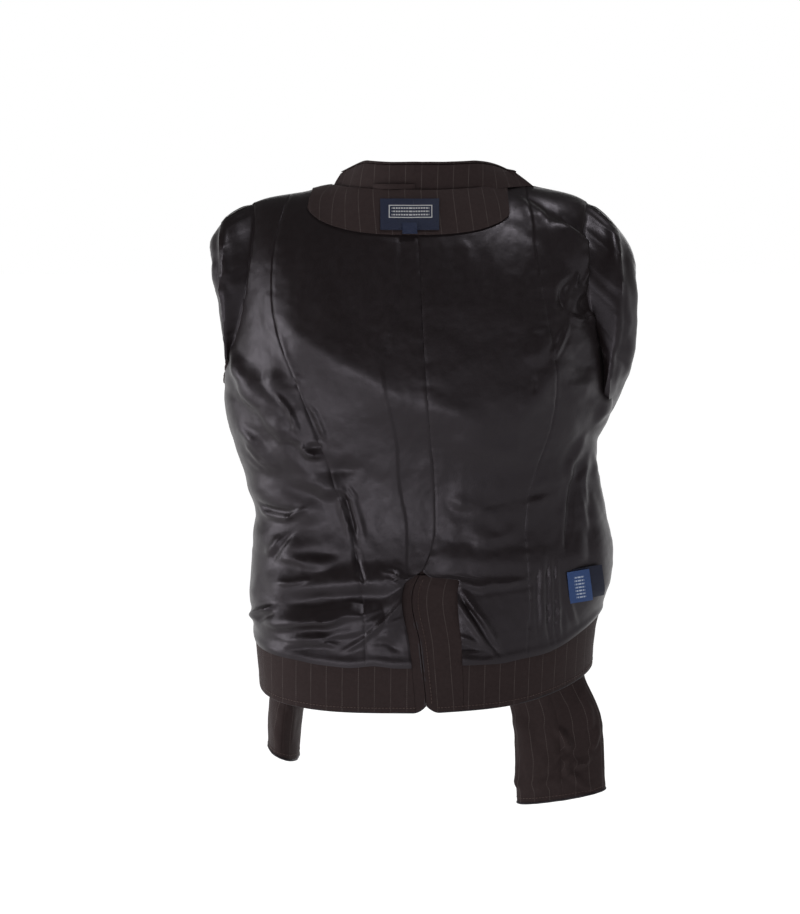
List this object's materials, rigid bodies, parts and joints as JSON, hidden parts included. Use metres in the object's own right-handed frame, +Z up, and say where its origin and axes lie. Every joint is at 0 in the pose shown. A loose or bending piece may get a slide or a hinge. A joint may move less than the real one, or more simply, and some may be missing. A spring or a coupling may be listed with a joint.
{
  "type": "tailored blazer",
  "caption": "Cropped tailored blazer in dark pinstripe twill with satin lining, worn inside out as a hollow shell with its sleeves hanging inside.",
  "frame": {"origin": "midway between the two neck points, at the height of the back neck seam, where the wearer holds the garment up", "axes": "+Z up; the centre back faces -Y; +X towards the image's right"},
  "size_m": [0.5103, 0.2379, 0.7864],
  "materials": {
    "twill": "matt brown-black twill with fine pale pinstripes",
    "satin": "dark satin with a soft sheen",
    "ribbon": "navy woven ribbon"
  },
  "bodies": {
    "root": {"back_left": "twill", "back_right": "twill", "side_left": "twill", "side_right": "twill", "front_left": "twill", "front_right": "twill", "front_facing_left": "twill", "front_facing_right": "twill", "lapel_left": "twill", "lapel_right": "twill", "neck_facing": "twill", "collar_stand": "twill", "collar_fall": "twill", "hem_facing_back_left": "twill", "hem_facing_back_right": "twill", "hem_facing_front_left": "twill", "hem_facing_front_right": "twill", "vent_facing_left": "twill", "vent_facing_right": "twill", "upper_sleeve_left": "twill", "upper_sleeve_right": "twill", "under_sleeve_left": "twill", "under_sleeve_right": "twill", "hanger_loop": "twill", "back_lining_left": "satin", "back_lining_right": "satin", "side_lining_left": "satin", "side_lining_right": "satin", "front_lining_left": "satin", "front_lining_right": "satin", "sleeve_lining_left": "satin", "sleeve_lining_right": "satin", "neck_label": "ribbon", "size_tab": "ribbon", "care_label_under": "ribbon", "care_label": "ribbon"}
  },
  "joints": []
}
